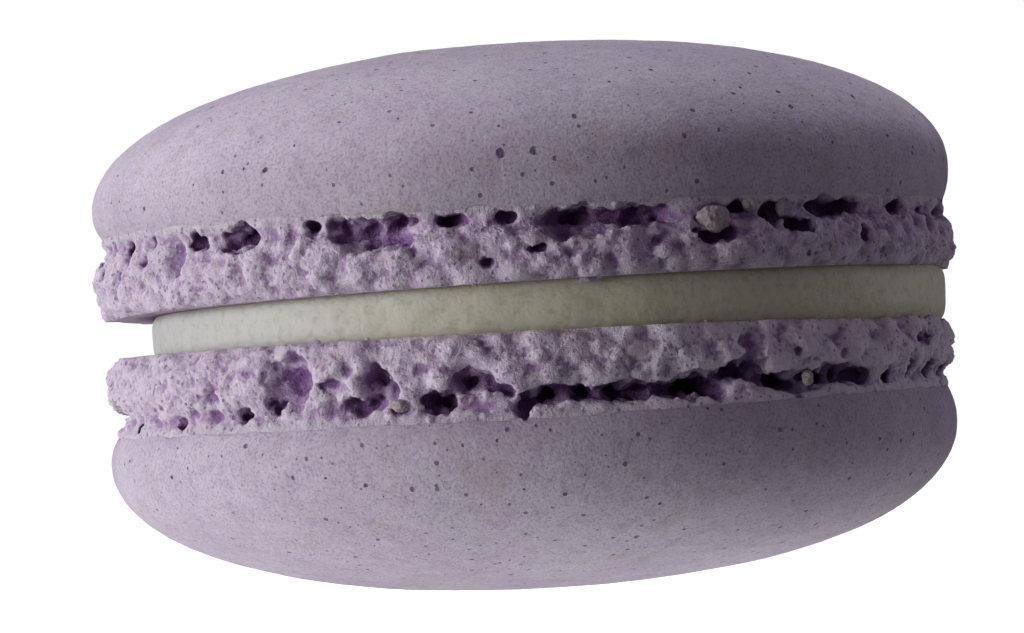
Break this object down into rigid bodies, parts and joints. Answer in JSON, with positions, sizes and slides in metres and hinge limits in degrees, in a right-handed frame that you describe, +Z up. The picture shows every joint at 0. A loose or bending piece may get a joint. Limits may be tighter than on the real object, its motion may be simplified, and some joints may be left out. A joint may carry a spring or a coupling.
{
  "type": "french macaron",
  "caption": "Round sandwich biscuit: two domed almond meringue shells with craggy feet, base to base over a layer of pale cream.",
  "frame": {"origin": "centre of the whole object's box in X and Y, on the surface it rests on, at the flat spot of the lower dome", "axes": "+Z up through both domes; -Y is the front, the side that was looked at; +X is the side where the cream is thicker and comes nearer the edge"},
  "size_m": [0.04, 0.0398, 0.0251],
  "materials": {
    "lower_meringue": "matt baked almond meringue, pale dusty lavender, pored",
    "cream": "satin butter cream, off-white",
    "upper_meringue": "matt baked almond meringue, pale dusty lavender, pored"
  },
  "bodies": {
    "root": {"lower_shell": "lower_meringue", "filling": "cream", "upper_shell": "upper_meringue"}
  },
  "joints": []
}
